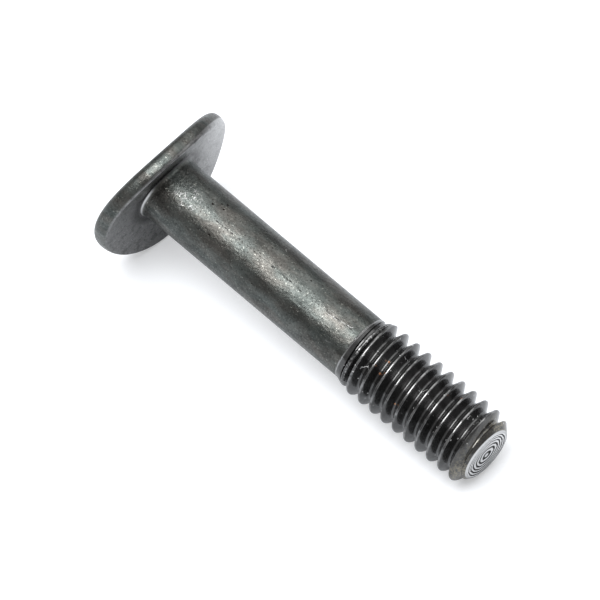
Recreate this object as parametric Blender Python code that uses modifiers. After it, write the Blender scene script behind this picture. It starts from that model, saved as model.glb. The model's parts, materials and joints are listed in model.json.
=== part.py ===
"""A partly threaded screw with a wide, thin, curved head, lying as it comes to rest.

Lengths are in metres and +Z is up. The screw is modelled along its own axis: distances
along the axis are measured from the middle of the head's underside towards the tip, and
the head curves about the line that the local Y axis follows. It is laid down at the end,
with the tip towards +X, so that the rim of the head and the end of the thread touch the
ground.
"""
import math

import bmesh
import bpy
from mathutils import Matrix, Vector

MM = 0.001

# Head
HEAD_DIAMETER = 16.46 * MM
HEAD_THICKNESS = 1.65 * MM
HEAD_CURVE_RADIUS = 24.0 * MM       # of the tube that the underside would sit on
HEAD_LEAN = math.radians(1.8)       # how far the head is out of square
HEAD_LEAN_TOWARDS = math.radians(-71.0)
TOP_EDGE_RADIUS = 0.6 * MM
UNDER_EDGE_RADIUS = 0.3 * MM
FILLET_RADIUS = 0.55 * MM           # between the head and the shank

# Hexagon socket in the top of the head
SOCKET_ACROSS_FLATS = 4.76 * MM
SOCKET_DEPTH = 2.7 * MM
SOCKET_POINT_DEPTH = 0.8 * MM

# Shank and thread
SHANK_DIAMETER = 6.72 * MM
SHANK_LENGTH = 24.35 * MM
UNDER_HEAD_LENGTH = 40.2 * MM
THREAD_DIAMETER = 7.72 * MM
THREAD_PITCH = 25.4 * MM / 18
THREAD_CREST = THREAD_PITCH / 8     # width of the flat on top of the thread
THREAD_DEPTH = 0.60 * THREAD_PITCH
FLANK_SLOPE = math.tan(math.radians(30))
THREAD_PHASE = 0.52 * MM            # where the crest crosses local +X, less whole turns
RUN_OUT_LENGTH = 1.6 * MM           # over which the thread rises to its full height
NECK_STEP = 0.06 * MM               # down from the shank to the short neck beside it
BEAD_BELOW_CREST = 0.23 * MM        # of the bead that thread rolling pushes up by the thread
BEAD_DISTANCE = 1.01 * MM           # from the end of the shank to the middle of the bead
BEAD_RADIUS = 0.24 * MM
TIP_DIAMETER = 5.5 * MM

# How the screw lies: its turn about its own axis, from local +X to the upward side
REST_ROLL = math.radians(90)

# Fineness of the round faces
SEGMENTS = 56
THREAD_SEGMENTS = 48
ARC_STEPS = 3
HEAD_RINGS = 4

# Room that cutters and buried ends take past the faces that they cross
OVERLAP = 0.3 * MM
MERGE = 0.001 * MM


def turned(name, profile, segments=SEGMENTS, ring=False):
    """A solid turned about Z from (radius, height) points that run down its outer side."""
    edges = [(i, i + 1) for i in range(len(profile) - 1)]
    if ring:
        edges.append((len(profile) - 1, 0))
    return swept(name, profile, edges, segments)


def swept(name, profile, edges, segments, pitch=0.0, turns=1):
    """A (radius, height) outline carried about Z, also up it where a pitch is given."""
    mesh = bpy.data.meshes.new(name)
    mesh.from_pydata([(radius, 0.0, height) for radius, height in profile], edges, [])
    body = bpy.data.objects.new(name, mesh)
    PARTS.objects.link(body)
    turn = body.modifiers.new("turn", "SCREW")
    turn.axis = "Z"
    turn.steps = turn.render_steps = segments
    turn.screw_offset = pitch
    turn.iterations = turns
    turn.use_merge_vertices = pitch == 0.0
    turn.merge_threshold = MERGE
    join = body.modifiers.new("join", "WELD")
    join.merge_threshold = MERGE
    return made_mesh(body)


def made_mesh(body):
    """The same object with its modifiers applied."""
    bpy.context.view_layer.update()
    evaluated = body.evaluated_get(bpy.context.evaluated_depsgraph_get())
    mesh = bpy.data.meshes.new_from_object(evaluated)
    body.modifiers.clear()
    body.data = mesh
    return body


def arc(center, radius, start, end, steps=ARC_STEPS):
    """Points on an arc in the (radius, height) plane, both ends included."""
    points = []
    for step in range(steps + 1):
        angle = math.radians(start + (end - start) * step / steps)
        points.append((center[0] + radius * math.cos(angle), center[1] + radius * math.sin(angle)))
    return points


def between(start, end, count):
    """Evenly spaced points between two points, without them."""
    return [tuple(start[k] + (end[k] - start[k]) * step / (count + 1) for k in (0, 1))
            for step in range(1, count + 1)]


def make_blank():
    """Head and shank as one turned piece, before the head is bent; its end is buried later."""
    rim = HEAD_DIAMETER / 2
    shank = SHANK_DIAMETER / 2
    buried = THREAD_DIAMETER / 2 - THREAD_DEPTH - OVERLAP
    fillet = arc((shank + FILLET_RADIUS, FILLET_RADIUS), FILLET_RADIUS, 180, 270)
    under_edge = arc((rim - UNDER_EDGE_RADIUS, -UNDER_EDGE_RADIUS), UNDER_EDGE_RADIUS, 90, 0, 2)
    top_edge = arc((rim - TOP_EDGE_RADIUS, TOP_EDGE_RADIUS - HEAD_THICKNESS), TOP_EDGE_RADIUS, 0, -90)
    top_middle = (0.0, -HEAD_THICKNESS)
    neck = shank - NECK_STEP
    bead_height = SHANK_LENGTH + BEAD_DISTANCE
    bead_middle = THREAD_DIAMETER / 2 - BEAD_BELOW_CREST - BEAD_RADIUS
    bead = arc((bead_middle, bead_height), BEAD_RADIUS, 80, -60)
    profile = [(0.0, bead_height + shank - buried), (buried, bead_height + shank - buried)]
    profile += bead
    profile += [(neck, bead[-1][1]), (neck, SHANK_LENGTH + NECK_STEP), (shank, SHANK_LENGTH)]
    profile += fillet
    profile += between(fillet[-1], under_edge[0], HEAD_RINGS)
    profile += under_edge + top_edge
    profile += between(top_edge[-1], top_middle, 2 * HEAD_RINGS)
    profile.append(top_middle)
    return turned("screw", profile)


def bend_head(body):
    """Curve the head like a saddle and lean it out of square, with the shank left straight."""
    lean = math.tan(HEAD_LEAN)
    towards = Vector((math.cos(HEAD_LEAN_TOWARDS), math.sin(HEAD_LEAN_TOWARDS)))
    for vertex in body.data.vertices:
        if vertex.co.z < FILLET_RADIUS + OVERLAP:
            rise = vertex.co.x ** 2 / (2 * HEAD_CURVE_RADIUS)
            vertex.co.z += rise + lean * towards.dot(vertex.co.xy)


def make_thread():
    """A threaded rod that starts inside the shank and runs past the tip."""
    crest = THREAD_DIAMETER / 2
    root = crest - THREAD_DEPTH
    half_crest = THREAD_CREST / 2
    half_foot = half_crest + THREAD_DEPTH * FLANK_SLOPE
    buried_turns = math.floor((SHANK_LENGTH - THREAD_PHASE) / THREAD_PITCH) - 1
    start = THREAD_PHASE + buried_turns * THREAD_PITCH
    turns = math.ceil((UNDER_HEAD_LENGTH - start) / THREAD_PITCH) + 1
    one_turn = [
        (root, start + THREAD_PITCH - half_foot),
        (root, start + half_foot),
        (crest, start + half_crest),
        (crest, start - half_crest),
        (root, start - half_foot),
    ]
    edges = [(i, i + 1) for i in range(len(one_turn) - 1)]
    rod = swept("thread", one_turn, edges, THREAD_SEGMENTS, THREAD_PITCH, turns)
    close_ends(rod)
    return rod


def close_ends(body):
    """Cap the two stepped ends of a helical sweep and turn all faces outwards."""
    mesh = bmesh.new()
    mesh.from_mesh(body.data)
    ends = [edge for edge in mesh.edges if edge.is_boundary]
    caps = bmesh.ops.holes_fill(mesh, edges=ends, sides=0)["faces"]
    bmesh.ops.poke(mesh, faces=caps)
    bmesh.ops.recalc_face_normals(mesh, faces=mesh.faces)
    mesh.to_mesh(body.data)
    mesh.free()


def make_run_out_cutter():
    """A ring that leaves a cone, so that the thread rises out of the neck by the shank."""
    crest = THREAD_DIAMETER / 2
    neck = SHANK_DIAMETER / 2 - NECK_STEP
    slope = (crest - neck) / RUN_OUT_LENGTH
    outside = crest + OVERLAP
    top = SHANK_LENGTH + RUN_OUT_LENGTH + OVERLAP
    bottom = SHANK_LENGTH - 3 * THREAD_PITCH
    profile = [
        (outside, top),
        (outside, bottom),
        (neck + slope * (bottom - SHANK_LENGTH), bottom),
        (neck + slope * (top - SHANK_LENGTH), top),
    ]
    return turned("run_out_cutter", profile, ring=True)


def make_tip_cutter():
    """What the chamfer and the flat end of the tip leave standing round them."""
    outside = THREAD_DIAMETER / 2 + 2 * OVERLAP
    tip = TIP_DIAMETER / 2
    beyond = UNDER_HEAD_LENGTH + 3 * THREAD_PITCH
    profile = [
        (0.0, beyond),
        (outside, beyond),
        (outside, UNDER_HEAD_LENGTH - (outside - tip)),
        (tip, UNDER_HEAD_LENGTH),
        (0.0, UNDER_HEAD_LENGTH),
    ]
    return turned("tip_cutter", profile)


def make_socket_cutter():
    """A hexagon with a pointed bottom, let into the top of the head."""
    corner = SOCKET_ACROSS_FLATS / 2 / math.cos(math.radians(30))
    top = -HEAD_THICKNESS
    profile = [
        (0.0, top + SOCKET_DEPTH + SOCKET_POINT_DEPTH),
        (corner, top + SOCKET_DEPTH),
        (corner, top - OVERLAP),
        (0.0, top - OVERLAP),
    ]
    return turned("socket_cutter", profile, 6)


def combine(body, other, operation):
    """Add another solid to the body, or cut it away, and remove that solid."""
    step = body.modifiers.new(operation.lower(), "BOOLEAN")
    step.operation = operation
    step.solver = "EXACT"
    step.object = other
    join = body.modifiers.new("join", "WELD")
    join.merge_threshold = MERGE
    made_mesh(body)
    bpy.data.objects.remove(other)


def rest_tilt(mesh):
    """How far the axis dips towards the tip when head and thread both touch the ground."""
    middle = UNDER_HEAD_LENGTH / 2
    turned_points = [Matrix.Rotation(REST_ROLL, 3, "Z") @ vertex.co for vertex in mesh.vertices]
    head = [point for point in turned_points if point.z < middle]
    thread = [point for point in turned_points if point.z > middle]
    low, high = 0.0, math.radians(45)
    for _ in range(40):
        tilt = (low + high) / 2
        drop = [min(point.y * math.cos(tilt) - point.z * math.sin(tilt) for point in side)
                for side in (head, thread)]
        if drop[0] < drop[1]:
            low = tilt
        else:
            high = tilt
    return tilt


def lay_down(body):
    """Turn the screw from its own axis to its place of rest, over the middle of the ground."""
    tilt = rest_tilt(body.data)
    upright_to_lying = Matrix((
        (0.0, math.sin(tilt), math.cos(tilt)),
        (1.0, 0.0, 0.0),
        (0.0, math.cos(tilt), -math.sin(tilt)),
    ))
    turn = upright_to_lying @ Matrix.Rotation(REST_ROLL, 3, "Z")
    points = [turn @ vertex.co for vertex in body.data.vertices]
    low = Vector([min(point[k] for point in points) for k in range(3)])
    high = Vector([max(point[k] for point in points) for k in range(3)])
    body.rotation_euler = turn.to_euler()
    body.location = (-(low.x + high.x) / 2, -(low.y + high.y) / 2, -low.z)


def blackened_steel():
    """Dark oxide finish on plain steel."""
    material = bpy.data.materials.new("blackened_steel")
    material.use_nodes = True
    shader = material.node_tree.nodes["Principled BSDF"]
    shader.inputs["Base Color"].default_value = (0.075, 0.078, 0.074, 1.0)
    shader.inputs["Metallic"].default_value = 0.85
    shader.inputs["Roughness"].default_value = 0.42
    material.diffuse_color = (0.10, 0.10, 0.10, 1.0)
    return material


def make_screw():
    """The whole screw as one solid."""
    screw = make_blank()
    bend_head(screw)
    thread = make_thread()
    combine(thread, make_run_out_cutter(), "DIFFERENCE")
    combine(thread, make_tip_cutter(), "DIFFERENCE")
    combine(screw, thread, "UNION")
    combine(screw, make_socket_cutter(), "DIFFERENCE")
    screw.data.materials.clear()
    screw.data.materials.append(blackened_steel())
    screw.data.shade_smooth()
    screw.data.set_sharp_from_angle(angle=math.radians(30))
    lay_down(screw)
    return screw


for old in list(bpy.data.objects):
    bpy.data.objects.remove(old)
PARTS = bpy.data.collections.new("curved_head_screw")
bpy.context.scene.collection.children.link(PARTS)
make_screw()
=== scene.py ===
"""The finish of a blackened screw with a curved head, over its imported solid.

Lengths are in metres. The screw is modelled upright on its own axis, with the middle of
the head's underside at the origin and the tip along +Z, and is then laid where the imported
record puts it. Inside the finish, lengths are in millimetres of that same upright place.
"""

import json
import math

import bpy
from mathutils import Euler, Matrix, Vector


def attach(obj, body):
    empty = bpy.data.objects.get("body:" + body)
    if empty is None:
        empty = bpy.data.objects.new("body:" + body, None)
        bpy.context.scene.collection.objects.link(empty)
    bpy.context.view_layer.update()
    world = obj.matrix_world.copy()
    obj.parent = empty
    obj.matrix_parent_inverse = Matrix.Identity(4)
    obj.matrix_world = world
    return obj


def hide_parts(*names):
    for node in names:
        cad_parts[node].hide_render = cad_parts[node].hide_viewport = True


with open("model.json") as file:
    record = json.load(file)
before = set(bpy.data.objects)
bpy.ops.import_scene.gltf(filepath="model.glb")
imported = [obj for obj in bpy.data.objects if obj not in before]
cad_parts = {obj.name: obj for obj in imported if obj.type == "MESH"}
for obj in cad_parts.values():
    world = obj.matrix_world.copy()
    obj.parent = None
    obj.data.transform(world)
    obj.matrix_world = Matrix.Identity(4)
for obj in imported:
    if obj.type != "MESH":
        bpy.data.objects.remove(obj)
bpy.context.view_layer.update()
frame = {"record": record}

MM = 0.001

# The head, a round plate curved like a saddle
HEAD_DIAMETER = 16.46 * MM
HEAD_THICKNESS = 1.65 * MM
HEAD_CURVE_RADIUS = 24.0 * MM
HEAD_LEAN = math.radians(1.8)
HEAD_LEAN_TOWARDS = math.radians(-71.0)
TOP_EDGE_RADIUS = 0.6 * MM
UNDER_EDGE_RADIUS = 0.3 * MM
RIM_RADIUS = 1.8 * MM               # of the bulge between its two edges
RIM_LEAN = math.radians(22)         # of the bulged edge where it meets the underside
FILLET_RADIUS = 0.55 * MM

# The hexagon socket in its top
SOCKET_SIDES = 6
SOCKET_ACROSS_FLATS = 4.76 * MM
SOCKET_DEPTH = 2.7 * MM
SOCKET_POINT_DEPTH = 0.8 * MM
SOCKET_MOUTH_BEVEL = 0.15 * MM

# The shank and its thread
SHANK_DIAMETER = 6.72 * MM
SHANK_LENGTH = 24.35 * MM
UNDER_HEAD_LENGTH = 40.2 * MM
THREAD_DIAMETER = 7.72 * MM
THREAD_PITCH = 25.4 * MM / 18
THREAD_CREST = THREAD_PITCH / 8
THREAD_DEPTH = 0.60 * THREAD_PITCH
CREST_CORNER_RADIUS = 0.10 * MM     # of both edges of the flat crest
FLANK_ANGLE = math.radians(30)
THREAD_PHASE = 0.52 * MM
RUN_OUT_LENGTH = 1.6 * MM
NECK_STEP = 0.06 * MM               # down to the short dark neck between shank and thread
SHANK_END_RADIUS = 0.1 * MM
BEAD_BELOW_CREST = 0.23 * MM        # of the bead that the thread roller pushed up beside it
BEAD_DISTANCE = 1.01 * MM           # from the end of the shank to the middle of the bead
BEAD_RADIUS = 0.24 * MM
TIP_DIAMETER = 5.5 * MM
TIP_CHAMFER = 45                    # degrees from the axis
TIP_EDGE_RADIUS = 0.24 * MM
TIP_LEAN = math.radians(5)          # how far the flat end is out of square
TIP_LEAN_TOWARDS = math.radians(23)

# How fine the round faces are
SIDES = 160
THREAD_SIDES = 120
HEAD_RINGS = 14
SHANK_RINGS = 10
SMOOTH_UNDER = math.radians(38)     # edges that bend less than this are shaded round

# Room that cutters take past the faces that they cross, and how near points fall together
OVERLAP = 0.3 * MM
MERGE = 0.0005 * MM

# Where the screw lies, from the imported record
tip_face = frame["record"]["mounts"][0]
along = Vector(tip_face["axis"]).normalized()
sideways = Vector((0.0, -1.0, 0.0))
upwards = sideways.cross(along)
under_head = Vector(tip_face["pos_m"]) - along * UNDER_HEAD_LENGTH
laid_down = Matrix.Translation(under_head) @ Matrix((upwards, sideways, along)).transposed().to_4x4()


# Modelling

def deselect_all():
    for thing in bpy.context.selected_objects:
        thing.select_set(False)


def draw_outline(name, points):
    """A line of vertices in the XZ plane, extruded from one (radius, height) to the next."""
    deselect_all()
    radius, height = points[0]
    bpy.ops.mesh.primitive_plane_add(size=MM, location=(radius, 0.0, height))
    outline = bpy.context.object
    outline.name = name
    bpy.ops.object.transform_apply(location=True, rotation=True, scale=True)
    bpy.ops.object.mode_set(mode="EDIT")
    bpy.ops.mesh.select_mode(type="VERT")
    bpy.ops.mesh.select_all(action="SELECT")
    bpy.ops.mesh.merge(type="CENTER")
    for (radius, height), (next_radius, next_height) in zip(points, points[1:]):
        step = (next_radius - radius, 0.0, next_height - height)
        bpy.ops.mesh.extrude_vertices_move(TRANSFORM_OT_translate={"value": step})
    bpy.ops.object.mode_set(mode="OBJECT")
    return outline


def carry_round(outline, sides, pitch=0.0, turns=1):
    """Turn an outline about Z, or wind it up Z where a pitch is given, into a closed solid."""
    turn = outline.modifiers.new("turn", "SCREW")
    turn.steps = turn.render_steps = sides
    turn.screw_offset = pitch
    turn.iterations = turns
    join = outline.modifiers.new("join", "WELD")
    join.merge_threshold = MERGE
    for step in (turn, join):
        bpy.ops.object.modifier_apply(modifier=step.name)
    bpy.ops.object.mode_set(mode="EDIT")
    bpy.ops.mesh.select_all(action="SELECT")
    if pitch:
        bpy.ops.mesh.fill_holes(sides=0)
        bpy.ops.mesh.select_mode(type="FACE")
        bpy.ops.mesh.select_face_by_sides(number=4, type="GREATER")
        bpy.ops.mesh.poke()
        bpy.ops.mesh.select_all(action="SELECT")
    bpy.ops.mesh.normals_make_consistent(inside=False)
    bpy.ops.object.mode_set(mode="OBJECT")
    return outline


def arc(center, radius, start, end, steps=5):
    """Points on an arc of the (radius, height) plane, with both of its ends."""
    points = []
    for step in range(steps + 1):
        angle = math.radians(start + (end - start) * step / steps)
        points.append((center[0] + radius * math.cos(angle), center[1] + radius * math.sin(angle)))
    return points


def between(start, end, count):
    """Evenly spaced points between two points, without them."""
    return [tuple(start[k] + (end[k] - start[k]) * step / (count + 1) for k in (0, 1))
            for step in range(1, count + 1)]


def rim_outline():
    """The bulged edge of the head, from its underside round to its top."""
    under, top, bulge = UNDER_EDGE_RADIUS, TOP_EDGE_RADIUS, RIM_RADIUS
    height = (HEAD_THICKNESS - under - top) - (bulge - under) * math.sin(RIM_LEAN)
    swing = math.asin(height / (bulge - top))
    middle = (HEAD_DIAMETER / 2 - bulge, -under - (bulge - under) * math.sin(RIM_LEAN))

    def inside(radius, angle):
        reach = bulge - radius
        return (middle[0] + reach * math.cos(angle), middle[1] + reach * math.sin(angle))

    lean, turn = math.degrees(RIM_LEAN), math.degrees(swing)
    outline = arc(inside(under, RIM_LEAN), under, 90, lean, 4)
    outline += arc(middle, bulge, lean, -turn, 6)[1:-1]
    outline += arc(inside(top, -swing), top, -turn, -90, 6)
    return outline


def model_blank():
    """Head, shank, neck and bead before the head is bent."""
    edge = rim_outline()
    shank = SHANK_DIAMETER / 2
    buried = THREAD_DIAMETER / 2 - THREAD_DEPTH - OVERLAP
    fillet = arc((shank + FILLET_RADIUS, FILLET_RADIUS), FILLET_RADIUS, 180, 270, 8)
    top_middle = (0.0, -HEAD_THICKNESS)
    neck = shank - NECK_STEP
    bead_height = SHANK_LENGTH + BEAD_DISTANCE
    bead_middle = THREAD_DIAMETER / 2 - BEAD_BELOW_CREST - BEAD_RADIUS
    bead = arc((bead_middle, bead_height), BEAD_RADIUS, 80, -60, 6)
    buried_end = bead_height + shank - buried
    outline = [(0.0, buried_end), (buried, buried_end)]
    outline += bead
    outline.append((neck, bead[-1][1]))
    outline.append((neck, SHANK_LENGTH + 1.2 * SHANK_END_RADIUS))
    outline += arc((shank - SHANK_END_RADIUS, SHANK_LENGTH), SHANK_END_RADIUS, 60, 0, 3)
    outline += between((shank, SHANK_LENGTH), fillet[0], SHANK_RINGS)
    outline += fillet
    outline += between(fillet[-1], edge[0], HEAD_RINGS)
    outline += edge
    outline += between(edge[-1], top_middle, 2 * HEAD_RINGS)
    outline.append(top_middle)
    return carry_round(draw_outline("screw", outline), SIDES)


def bend_head(screw):
    """Curve the head like a saddle with a lattice and lean it, with the shank left straight."""
    cell = 1.1 * HEAD_DIAMETER
    group = screw.vertex_groups.new(name="head")
    group.add([vertex.index for vertex in screw.data.vertices
               if vertex.co.z < FILLET_RADIUS + OVERLAP], 1.0, "REPLACE")
    deselect_all()
    bpy.ops.object.add(type="LATTICE")
    cage = bpy.context.object
    cage.data.points_u, cage.data.points_v, cage.data.points_w = 4, 2, 2
    cage.data.interpolation_type_u = "KEY_BSPLINE"
    cage.data.interpolation_type_v = cage.data.interpolation_type_w = "KEY_LINEAR"
    cage.scale = (3 * cell, cell, cell)
    for point in cage.data.points:
        x, y = point.co.x * cage.scale.x, point.co.y * cage.scale.y
        curve = (x ** 2 - cell ** 2 / 3) / (2 * HEAD_CURVE_RADIUS)
        lean = math.tan(HEAD_LEAN) * (x * math.cos(HEAD_LEAN_TOWARDS) + y * math.sin(HEAD_LEAN_TOWARDS))
        point.co_deform.z += (curve + lean) / cage.scale.z
    bpy.context.view_layer.objects.active = screw
    press = screw.modifiers.new("press", "LATTICE")
    press.object = cage
    press.vertex_group = group.name
    bpy.ops.object.modifier_apply(modifier=press.name)
    screw.vertex_groups.clear()
    bpy.data.objects.remove(cage)


def model_thread():
    """A threaded rod with rounded roots and crest edges, from inside the shank to past the tip."""
    crest = THREAD_DIAMETER / 2
    root = crest - THREAD_DEPTH
    flank = math.tan(FLANK_ANGLE)
    root_width = THREAD_PITCH - THREAD_CREST - 2 * THREAD_DEPTH * flank
    half_flat = THREAD_CREST / 2 - CREST_CORNER_RADIUS * math.tan((math.pi / 2 - FLANK_ANGLE) / 2)
    root_radius = root_width / 2 / flank
    buried_turns = math.floor((SHANK_LENGTH - THREAD_PHASE) / THREAD_PITCH) - 1
    start = THREAD_PHASE + buried_turns * THREAD_PITCH
    turns = math.ceil((UNDER_HEAD_LENGTH - start) / THREAD_PITCH) + 1
    valley = start + THREAD_PITCH / 2
    outline = arc((root + root_radius, valley), root_radius, 180, 240, 3)
    corner = crest - CREST_CORNER_RADIUS
    outline += arc((corner, start + half_flat), CREST_CORNER_RADIUS, 60, 0, 3)
    outline += arc((corner, start - half_flat), CREST_CORNER_RADIUS, 0, -60, 3)
    outline += arc((root + root_radius, valley - THREAD_PITCH), root_radius, 120, 180, 3)
    return carry_round(draw_outline("thread", outline), THREAD_SIDES, THREAD_PITCH, turns)


def run_out_ring():
    """What the roller leaves free where the thread rises out of the neck by the shank."""
    crest = THREAD_DIAMETER / 2
    neck = SHANK_DIAMETER / 2 - NECK_STEP
    slope = (crest - neck) / RUN_OUT_LENGTH
    outside = crest + OVERLAP
    top = SHANK_LENGTH + RUN_OUT_LENGTH + OVERLAP
    bottom = SHANK_LENGTH - 3 * THREAD_PITCH
    outline = [
        (outside, top),
        (outside, bottom),
        (neck + slope * (bottom - SHANK_LENGTH), bottom),
        (neck + slope * (top - SHANK_LENGTH), top),
        (outside, top),
    ]
    return carry_round(draw_outline("run_out_ring", outline), SIDES)


def tip_end():
    """The room past the chamfer and the flat end of the tip."""
    outside = THREAD_DIAMETER / 2 + 2 * OVERLAP
    tip = TIP_DIAMETER / 2
    beyond = UNDER_HEAD_LENGTH + 3 * THREAD_PITCH
    edge_middle = (tip - TIP_EDGE_RADIUS * math.tan(math.radians(TIP_CHAMFER / 2)),
                   UNDER_HEAD_LENGTH - TIP_EDGE_RADIUS)
    chamfer_length = (outside - tip) / math.tan(math.radians(TIP_CHAMFER))
    outline = [(0.0, beyond), (outside, beyond), (outside, UNDER_HEAD_LENGTH - chamfer_length)]
    outline += arc(edge_middle, TIP_EDGE_RADIUS, TIP_CHAMFER, 90, 3)
    outline.append((0.0, UNDER_HEAD_LENGTH))
    end = carry_round(draw_outline("tip_end", outline), SIDES)
    middle = Vector((0, 0, UNDER_HEAD_LENGTH))
    across = Vector((-math.sin(TIP_LEAN_TOWARDS), math.cos(TIP_LEAN_TOWARDS), 0))
    end.matrix_world = (Matrix.Translation(middle) @ Matrix.Rotation(TIP_LEAN, 4, across)
                        @ Matrix.Translation(-middle))
    return end


def socket_room():
    """A hexagon with a bevelled mouth and a pointed bottom, in the top of the head."""
    corner = SOCKET_ACROSS_FLATS / 2 / math.cos(math.pi / SOCKET_SIDES)
    top = -HEAD_THICKNESS
    outline = [
        (0.0, top + SOCKET_DEPTH + SOCKET_POINT_DEPTH),
        (corner, top + SOCKET_DEPTH),
        (corner, top + SOCKET_MOUTH_BEVEL),
        (corner + SOCKET_MOUTH_BEVEL + OVERLAP, top - OVERLAP),
        (0.0, top - OVERLAP),
    ]
    return carry_round(draw_outline("socket_room", outline), SOCKET_SIDES)


def combine(body, other, operation):
    """Join another solid to the body, or cut its room out of it."""
    deselect_all()
    bpy.context.view_layer.objects.active = body
    step = body.modifiers.new(operation.lower(), "BOOLEAN")
    step.operation = operation
    step.solver = "EXACT"
    step.object = other
    bpy.ops.object.modifier_apply(modifier=step.name)
    bpy.data.objects.remove(other)


def model_screw():
    """The whole screw, laid down in its place."""
    screw = model_blank()
    bend_head(screw)
    thread = model_thread()
    combine(thread, run_out_ring(), "DIFFERENCE")
    combine(thread, tip_end(), "DIFFERENCE")
    combine(screw, thread, "UNION")
    combine(screw, socket_room(), "DIFFERENCE")
    screw.name = "dark_screw"
    screw.matrix_world = laid_down
    deselect_all()
    screw.select_set(True)
    bpy.ops.object.transform_apply(location=True, rotation=True, scale=True)
    bpy.ops.object.shade_smooth_by_angle(angle=SMOOTH_UNDER)
    return screw


# The finish, in millimetres of the upright screw

SHANK_RADIUS = SHANK_DIAMETER / 2 / MM
CREST_RADIUS = THREAD_DIAMETER / 2 / MM
TIP_RADIUS = TIP_DIAMETER / 2 / MM
FILLET_HEIGHT = FILLET_RADIUS / MM
SHANK_END = SHANK_LENGTH / MM
BEAD_HEIGHT = (SHANK_LENGTH + BEAD_DISTANCE) / MM
TIP_HEIGHT = UNDER_HEAD_LENGTH / MM

# Round marks: the turn about the axis from its upper side in degrees, height and size in mm
DARK_PITS = [
    (-4, 5.45, 0.14), (-21, 6.49, 0.16), (-9, 6.58, 0.12), (-15, 6.05, 0.09), (39, 7.16, 0.12),
    (-12, 17.4, 0.10), (-30, 11.9, 0.08), (56, 13.2, 0.09), (30, 18.7, 0.07),
]
BRIGHT_NICKS = [(-28, 13.48, 0.07), (-26, 13.60, 0.05)]
CRACKED_PATCH = [(16, 3.3, 1.7)]
RUST_SPOTS = [
    (8, 28.18, 0.16), (34, 28.22, 0.17), (27, 28.68, 0.15), (-18, 35.57, 0.13), (60, 31.0, 0.10),
]

# Long marks: turn and height at both ends in degrees and mm, then the width in mm
SCRATCHES = [
    (13, 20.9, 11, 21.6, 0.05), (11, 21.6, 9, 22.2, 0.06), (9, 22.2, 9, 22.9, 0.05),
    (8, 22.9, 5, 23.5, 0.07), (49, 22.2, 46, 22.7, 0.06),
]
CRINKLED_LINE = [
    (14.4, 6.7, 12.4, 12.5, 0.08), (12.4, 12.5, 12.9, 18.0, 0.09), (12.9, 18.0, 8.7, 23.6, 0.12),
]
FIBRES = [
    (47, 26.4, 37, 26.9, 0.07), (37, 26.9, 5, 26.6, 0.06), (-12, 28.9, -20, 29.5, 0.06),
    (14, 32.2, 4, 32.7, 0.06), (2, 37.4, -8, 37.5, 0.05), (-4, 38.0, -12, 38.5, 0.05),
]
MARK_STRAY = 0.35                   # how far a long mark wanders in all

# Colours of the bare metal, the oxide and the dirt
COOL_OXIDE = ((0.056, 0.063, 0.060, 1.0), (0.118, 0.129, 0.123, 1.0))
WARM_OXIDE = ((0.056, 0.055, 0.051, 1.0), (0.124, 0.119, 0.110, 1.0))
BRIGHT_GRAIN = (0.34, 0.34, 0.31, 1.0)
DARK_GRAIN = (0.026, 0.025, 0.023, 1.0)
PIT = (0.012, 0.009, 0.008, 1.0)
WORN_TIP = (0.23, 0.21, 0.165, 1.0)
RUST = (0.48, 0.23, 0.12, 1.0)

RELIEF_DEPTH = 0.03 * MM


class Finish:
    """A node tree, with short ways to add its nodes and join them."""

    def __init__(self, name, kind):
        self.owner = kind.new(name)
        self.owner.use_nodes = True
        self.tree = self.owner.node_tree

    def add(self, kind, inputs=(), **settings):
        """A node with its settings and inputs; an input is a value or another node's output."""
        node = self.tree.nodes.new("ShaderNode" + kind)
        for name, value in settings.items():
            setattr(node, name, value)
        for name, value in dict(inputs).items():
            self.put(node, name, value)
        return node

    def put(self, node, name, value):
        if isinstance(value, bpy.types.NodeSocket):
            self.tree.links.new(value, node.inputs[name])
        else:
            node.inputs[name].default_value = value

    def calc(self, operation, first, second=0.0, third=0.0):
        node = self.add("Math", {0: first, 1: second, 2: third}, operation=operation)
        return node.outputs[0]

    def times(self, first, second):
        return self.calc("MULTIPLY", first, second)

    def vector(self, operation, first, second):
        node = self.add("VectorMath", {0: first, 1: second}, operation=operation)
        return node.outputs[0]

    def ramp(self, value, low, high, to_low=0.0, to_high=1.0):
        """A smooth step from one value to another as the input passes from low to high."""
        node = self.add("MapRange", {"Value": value, "From Min": low, "From Max": high,
                                     "To Min": to_low, "To Max": to_high},
                        interpolation_type="SMOOTHSTEP")
        return node.outputs["Result"]

    def noise(self, point, scale, detail=2.0, roughness=0.5, shift=0.0):
        """Noise between 0 and 1 with that many spots to a millimetre, taken some way off."""
        if shift:
            point = self.vector("ADD", point, (shift, shift, shift))
        node = self.add("TexNoise", {"Vector": point, "Scale": scale, "Detail": detail,
                                     "Roughness": roughness})
        return node.outputs["Fac"]

    def cells(self, point, scale, feature="F1"):
        """Distance within scattered cells, of which scale fit on a millimetre."""
        node = self.add("TexVoronoi", {"Vector": point, "Scale": scale}, feature=feature)
        return node.outputs["Distance"]

    def blend(self, share, first, second):
        """A colour that passes from the first to the second as share goes from 0 to 1."""
        node = self.add("Mix", data_type="RGBA")
        for socket, value in zip((0, 6, 7), (share, first, second)):
            self.put(node, socket, value)
        return node.outputs[2]


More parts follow.
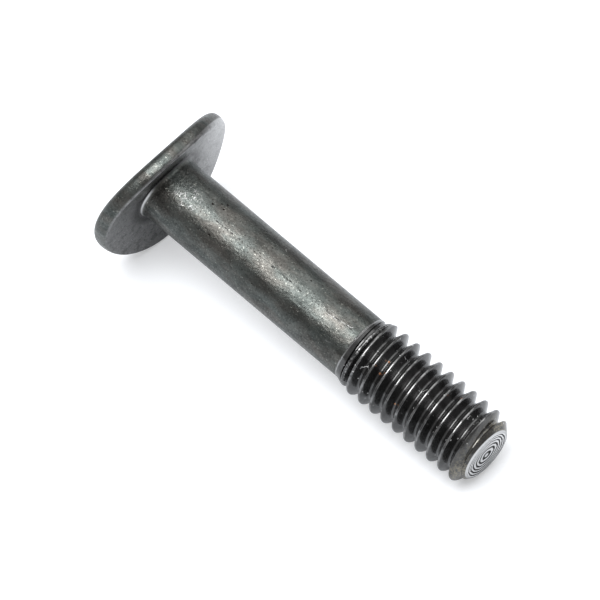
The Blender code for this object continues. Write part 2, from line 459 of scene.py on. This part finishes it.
class Place:
    """Where a point of the screw is, measured in several ways."""

    def __init__(self, finish):
        add, calc, times = finish.add, finish.calc, finish.times
        seen = add("TexCoord").outputs["Object"]
        self.far_side = add("SeparateXYZ", {"Vector": seen}).outputs["Y"]

        # Upright, and turned square to the leaning end
        upright = add("Mapping", {"Vector": seen, "Location": laid_down.translation,
                                  "Rotation": laid_down.to_euler(), "Scale": (MM, MM, MM)},
                      vector_type="TEXTURE")
        self.point = upright.outputs["Vector"]
        x, y, self.height = add("SeparateXYZ", {"Vector": self.point}).outputs
        self.radius = calc("SQRT", calc("ADD", times(x, x), times(y, y)))
        lean_x = math.tan(TIP_LEAN) * math.cos(TIP_LEAN_TOWARDS)
        lean_y = math.tan(TIP_LEAN) * math.sin(TIP_LEAN_TOWARDS)
        leaned = calc("MULTIPLY_ADD", x, lean_x, self.height)
        self.height_by_end = calc("MULTIPLY_ADD", y, lean_y, leaned)
        self.lean_here = calc("DIVIDE", calc("MULTIPLY_ADD", y, lean_y, times(x, lean_x)), self.radius)
        self.height_by_head = calc("MULTIPLY_ADD", times(x, x), -MM / (2 * HEAD_CURVE_RADIUS),
                                   self.height)

        # Pushed onto the shank, and that with a little wandering
        push = calc("DIVIDE", SHANK_RADIUS, self.radius)
        self.skin = add("CombineXYZ", {"X": times(x, push), "Y": times(y, push),
                                       "Z": self.height}).outputs[0]
        drift = add("TexNoise", {"Vector": self.point, "Scale": 3.0, "Detail": 1.0}).outputs["Color"]
        drift = finish.vector("MULTIPLY", drift, (MARK_STRAY,) * 3)
        drift = finish.vector("SUBTRACT", drift, (MARK_STRAY / 2,) * 3)
        self.stray = finish.vector("ADD", self.skin, drift)


def grey(value):
    return (value, value, value, 1.0)


def on_shank(turn, height):
    """A point on the shank, in mm along the screw's own axes."""
    turn = math.radians(turn)
    return Vector((SHANK_RADIUS * math.cos(turn), SHANK_RADIUS * math.sin(turn), height))


def spots(finish, skin, marks):
    """One inside round marks, fading to none at their edges."""
    share = None
    for turn, height, size in marks:
        away = finish.add("VectorMath", {0: skin, 1: on_shank(turn, height)}, operation="DISTANCE")
        mark = finish.ramp(away.outputs["Value"], size, 0.5 * size)
        share = mark if share is None else finish.calc("MAXIMUM", share, mark)
    return share


def lines(finish, skin, marks):
    """One along straight marks, fading to none at their edges."""
    share = None
    for turn, height, far_turn, far_height, width in marks:
        start = on_shank(turn, height)
        run = on_shank(far_turn, far_height) - start
        from_start = finish.vector("SUBTRACT", skin, start)
        along_run = finish.add("VectorMath", {0: from_start, 1: run / run.length_squared},
                               operation="DOT_PRODUCT").outputs["Value"]
        held = finish.add("Clamp", {"Value": along_run}).outputs[0]
        nearest = finish.add("VectorMath", {0: run, "Scale": held}, operation="SCALE").outputs[0]
        away = finish.add("VectorMath", {0: from_start, 1: nearest}, operation="DISTANCE")
        mark = finish.ramp(away.outputs["Value"], width, 0.4 * width)
        share = mark if share is None else finish.calc("MAXIMUM", share, mark)
    return share


def underside_tone_and_painted_light(finish, place, grain):
    """The underside of the head, with its grain and darker patches, and painted light: a painted
    reflection makes its far side bright and painted shade makes it dark by the shank.
    """
    ramp, blend = finish.ramp, finish.blend
    # Painted reflection: the far side of the underside is made brighter, as where it reflects the lit
    # floor
    far = ramp(place.far_side, 2.0 * MM, 8.0 * MM)
    underside_with_painted_light = blend(far, grey(0.20), grey(0.45))
    underside_with_painted_light = blend(ramp(grain, 0.45, 0.75), underside_with_painted_light, blend(far, grey(0.34), grey(0.68)))
    patches = ramp(finish.noise(place.point, 1.3, 4.0, 0.7, 17.0), 0.50, 0.38, 0.0, 0.6)
    underside_with_painted_light = blend(patches, underside_with_painted_light, blend(far, grey(0.08), grey(0.36)))
    # Painted shade: darker close round the shank
    return blend(ramp(place.radius, 5.0, 3.8), underside_with_painted_light, blend(far, grey(0.06), grey(0.30)))


def oxide_colour(finish, place, grain, mottle, tint, pits, under_head):
    """The satin oxide of head and shank, with its grain and marks, painted reflection and painted shade on
    the head's underside, and a painted highlight on the fillet.
    """
    ramp, times, blend = finish.ramp, finish.times, finish.blend
    cool = blend(ramp(mottle, 0.3, 0.7), *COOL_OXIDE)
    warm = blend(ramp(mottle, 0.3, 0.7), *WARM_OXIDE)
    oxide = blend(ramp(tint, 0.38, 0.66), cool, warm)
    oxide = blend(ramp(grain, 0.58, 0.75), oxide, BRIGHT_GRAIN)
    oxide = blend(ramp(grain, 0.44, 0.30), oxide, DARK_GRAIN)
    oxide = blend(pits, oxide, PIT)
    # The head's underside, with its painted reflection and painted shade
    oxide = blend(under_head, oxide, underside_tone_and_painted_light(finish, place, grain))

    # A painted highlight: a bright crescent painted on the near side of the fillet
    painted_crescent_highlight = times(ramp(place.height_by_head, FILLET_HEIGHT + 0.07, FILLET_HEIGHT - 0.10),
                     ramp(place.height_by_head, 0.0, 0.08))
    painted_crescent_highlight = times(painted_crescent_highlight, ramp(place.radius, SHANK_RADIUS + 0.04, SHANK_RADIUS + 0.14))
    painted_crescent_highlight = times(painted_crescent_highlight, ramp(place.far_side, -2.0 * MM, -3.0 * MM))
    oxide = blend(painted_crescent_highlight, oxide, grey(0.50))

    # Nicks, scratches, the crinkled line and the cracked patch beside the head
    oxide = blend(spots(finish, place.skin, BRIGHT_NICKS), oxide, grey(0.60))
    oxide = blend(lines(finish, place.stray, SCRATCHES), oxide, grey(0.22))
    crinkled = times(lines(finish, place.stray, CRINKLED_LINE),
                     ramp(finish.noise(place.point, 1.8, 2.0, 0.6, 19.0), 0.42, 0.60))
    oxide = blend(crinkled, oxide, grey(0.02))
    cracks = times(ramp(finish.cells(place.point, 2.4, "DISTANCE_TO_EDGE"), 0.07, 0.03),
                   spots(finish, place.skin, CRACKED_PATCH))
    cracks = times(cracks, ramp(finish.noise(place.point, 1.6, 2.0, 0.5, 13.0), 0.46, 0.56))
    return blend(cracks, oxide, grey(0.30))


def oiled_colour(finish, place, mottle, ragged, on_bead, dust):
    """The glossy oiled black of the thread, with worn crests, tip and bead, rust and dust, and a painted
    highlight round the end of the shank.
    """
    ramp, noise, times, blend = finish.ramp, finish.noise, finish.times, finish.blend
    oiled = blend(ramp(mottle, 0.35, 0.65), grey(0.060), grey(0.095))
    on_crest = ramp(finish.calc("MULTIPLY_ADD", ragged, 0.12, place.radius),
                    CREST_RADIUS - 0.02, CREST_RADIUS + 0.06)
    broken = ramp(noise(place.point, 0.8, 4.0, 0.7, 11.0), 0.38, 0.62)
    oiled = blend(on_crest, oiled, blend(broken, grey(0.08), grey(0.24)))

    # The last turn, least where the end leans towards
    at_sides = ramp(place.lean_here, 0.9 * math.tan(TIP_LEAN), 0.5 * math.tan(TIP_LEAN), 0.3, 1.0)
    last_turn = times(ramp(place.height, TIP_HEIGHT - 1.8, TIP_HEIGHT - 0.8), at_sides)
    worn = ramp(noise(place.point, 5.0, 3.0, 0.7, 3.0), 0.56, 0.42)
    oiled = blend(times(last_turn, worn), oiled, WORN_TIP)

    # The bead's pressed ticks, and a painted highlight: a pale line painted round the end of the shank
    ticks = times(on_bead, ramp(noise(place.point, 4.0, 1.0, 0.5, 9.0), 0.52, 0.62))
    oiled = blend(ticks, oiled, grey(0.28))
    painted_end_highlight = times(ramp(place.height, SHANK_END - 0.05, SHANK_END + 0.01),
                     ramp(place.height, SHANK_END + 0.15, SHANK_END + 0.09))
    oiled = blend(painted_end_highlight, oiled, grey(0.30))
    oiled = blend(spots(finish, place.skin, RUST_SPOTS), oiled, RUST)
    return blend(dust, oiled, grey(0.42))


def turned_colour(finish, place):
    """The bare end, with turning rings that crowd towards its edge."""
    ramp, blend = finish.ramp, finish.blend
    wobbly = finish.calc("MULTIPLY_ADD", finish.noise(place.point, 1.2, 2.0, 0.5, 5.0), 0.30, place.radius)
    crowded = finish.calc("MULTIPLY_ADD", finish.times(wobbly, wobbly), 0.5, wobbly)
    rings = finish.calc("SINE", finish.times(crowded, 2 * math.pi))
    turned = blend(ramp(rings, -0.6, 0.5), grey(0.14), grey(0.86))
    return blend(ramp(place.radius, TIP_RADIUS - 0.23, TIP_RADIUS - 0.15), turned, grey(0.62))


def blackened_steel():
    """Satin black oxide on head and shank, glossy oiled black on the thread, a bare tip."""
    finish = Finish("blackened_steel", bpy.data.materials)
    ramp, noise, calc, times = finish.ramp, finish.noise, finish.calc, finish.times
    shader = finish.tree.nodes["Principled BSDF"]
    place = Place(finish)

    # Patterns
    streaks = finish.vector("MULTIPLY", place.point, (1.0, 1.0, 0.45))
    mottle = noise(streaks, 0.9, 4.0, 0.65)
    tint = noise(streaks, 0.5, 3.0, 0.6, 7.0)
    grain = noise(place.point, 5.0, 4.0, 0.7)
    ragged = noise(place.point, 3.0)
    pits = spots(finish, place.skin, DARK_PITS)

    # Where each finish shows
    on_thread = ramp(calc("MULTIPLY_ADD", ragged, 0.3, place.height), SHANK_END + 0.05, SHANK_END + 0.21)
    on_end = ramp(place.height_by_end, TIP_HEIGHT - 0.10, TIP_HEIGHT - 0.04)
    under_head = times(ramp(place.height_by_head, -0.40, -0.20), ramp(place.height_by_head, 1.0, 0.6))
    under_head = times(under_head, ramp(place.radius, SHANK_RADIUS + 0.09, SHANK_RADIUS + 0.24))
    on_bead = times(ramp(place.height, BEAD_HEIGHT - 0.26, BEAD_HEIGHT - 0.11),
                    ramp(place.height, BEAD_HEIGHT + 0.29, BEAD_HEIGHT + 0.14))
    on_bead = times(on_bead, ramp(place.radius, SHANK_RADIUS + 0.09, SHANK_RADIUS + 0.19))
    dust = times(ramp(finish.cells(place.point, 1.1), 0.12, 0.07), on_thread)
    dust = calc("MAXIMUM", dust, lines(finish, place.stray, FIBRES))

    # Colour
    oxide = oxide_colour(finish, place, grain, mottle, tint, pits, under_head)
    oiled = oiled_colour(finish, place, mottle, ragged, on_bead, dust)
    turned = turned_colour(finish, place)
    colour = finish.blend(on_end, finish.blend(on_thread, oxide, oiled), turned)
    finish.put(shader, "Base Color", colour)
    finish.put(shader, "Specular Tint", finish.blend(on_end, grey(1.0), turned))
    coated = calc("MAXIMUM", dust, times(on_thread, 0.10))
    finish.put(shader, "Metallic", calc("SUBTRACT", 1.0, coated))

    # Gloss and relief
    dull = ramp(grain, 0.3, 0.7, 0.40, 0.25)
    finish.put(shader, "Roughness", calc("MULTIPLY_ADD", on_thread, -0.16, dull))
    dents = finish.cells(place.point, 3.2, "SMOOTH_F1")
    calm = calc("MAXIMUM", times(on_thread, 0.90), times(under_head, 0.75))
    relief = times(calc("ADD", grain, times(dents, 0.6)), calc("SUBTRACT", 1.0, calm))
    relief = calc("ADD", relief, times(on_bead, noise(place.point, 6.0, 1.0, 0.5, 9.0)))
    relief = calc("MULTIPLY_ADD", pits, -1.0, relief)
    bump = finish.add("Bump", {"Height": relief, "Distance": RELIEF_DEPTH, "Strength": 1.0})
    finish.put(shader, "Normal", bump.outputs["Normal"])
    return finish.owner


# Studio

CAMERA_DISTANCE = 0.8
CAMERA_AZIMUTH = math.radians(-46.48)
CAMERA_ELEVATION = math.radians(58.65)
CAMERA_ROLL = math.radians(-1.83)
PIXELS = 600
PIXELS_PER_METRE = 10758
LOOKED_AT = 18 * MM                 # along the screw's axis
LOOKED_AT_PIXEL = (308.57, 305.5)


def place_camera():
    """A long lens at the photograph's angle, aimed at a point on the screw's axis."""
    point = under_head + along * LOOKED_AT
    back = Vector((math.cos(CAMERA_AZIMUTH) * math.cos(CAMERA_ELEVATION),
                   math.sin(CAMERA_AZIMUTH) * math.cos(CAMERA_ELEVATION),
                   math.sin(CAMERA_ELEVATION)))
    bpy.ops.object.camera_add(location=point + back * CAMERA_DISTANCE)
    camera = bpy.context.object
    turn = back.to_track_quat("Z", "Y") @ Euler((0.0, 0.0, CAMERA_ROLL)).to_quaternion()
    camera.rotation_euler = turn.to_euler()
    camera.data.sensor_width = 36.0
    camera.data.lens = PIXELS_PER_METRE * CAMERA_DISTANCE * camera.data.sensor_width / PIXELS
    camera.data.shift_x = (PIXELS / 2 - LOOKED_AT_PIXEL[0]) / PIXELS
    camera.data.shift_y = (LOOKED_AT_PIXEL[1] - PIXELS / 2) / PIXELS
    camera.data.clip_start = 0.01
    camera.data.clip_end = 20.0
    bpy.context.scene.camera = camera


WHITE = (1.0, 1.0, 1.0, 1.0)
ROOM_LIGHT = 0.44
FLOOR_SIZE = 4.0
FLOOR_COLOUR = (0.73, 0.75, 0.78, 1.0)
FLOOR_GLOW = 0.33                   # added for camera rays, so that the open floor is white
LAMPS = {                           # towards, distance, size along and across the screw, radiance
    "softbox": ((-0.150, -0.260, 0.957), 0.5, 0.26, 0.32, 7.2),
    "diffuser": ((-0.150, 0.300, 0.900), 0.6, 0.90, 0.90, 1.4),
}


def lay_floor():
    """A pale floor that is white where no shadow falls."""
    deselect_all()
    bpy.ops.mesh.primitive_plane_add(size=FLOOR_SIZE)
    floor = bpy.context.object
    floor.name = "floor"
    finish = Finish("white_floor", bpy.data.materials)
    shader = finish.tree.nodes["Principled BSDF"]
    shader.inputs["Base Color"].default_value = FLOOR_COLOUR
    shader.inputs["Roughness"].default_value = 0.9
    shader.inputs["Specular IOR Level"].default_value = 0.0
    shader.inputs["Emission Color"].default_value = WHITE
    looked_at = finish.add("LightPath").outputs["Is Camera Ray"]
    finish.put(shader, "Emission Strength", finish.times(looked_at, FLOOR_GLOW))
    floor.data.materials.append(finish.owner)


def light_studio():
    """An even white room, a soft box nearly overhead and a broad diffuser on the far side."""
    room = Finish("white_room", bpy.data.worlds)
    bpy.context.scene.world = room.owner
    background = room.tree.nodes["Background"]
    background.inputs["Color"].default_value = WHITE
    background.inputs["Strength"].default_value = ROOM_LIGHT
    for name, (towards, distance, size_along, size_across, radiance) in LAMPS.items():
        towards = Vector(towards).normalized()
        deselect_all()
        bpy.ops.object.light_add(type="AREA", location=towards * distance)
        lamp = bpy.context.object
        lamp.name = name
        lamp.data.shape = "RECTANGLE"
        lamp.data.size = size_along
        lamp.data.size_y = size_across
        lamp.data.energy = radiance * math.pi * size_along * size_across
        lamp.rotation_euler = (math.asin(-towards.y), math.asin(towards.x), 0)
    bpy.context.scene.view_settings.view_transform = "Standard"


screw = model_screw()
screw.data.materials.clear()
screw.data.materials.append(blackened_steel())
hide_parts("screw")
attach(screw, "root")
lay_floor()
light_studio()
place_camera()
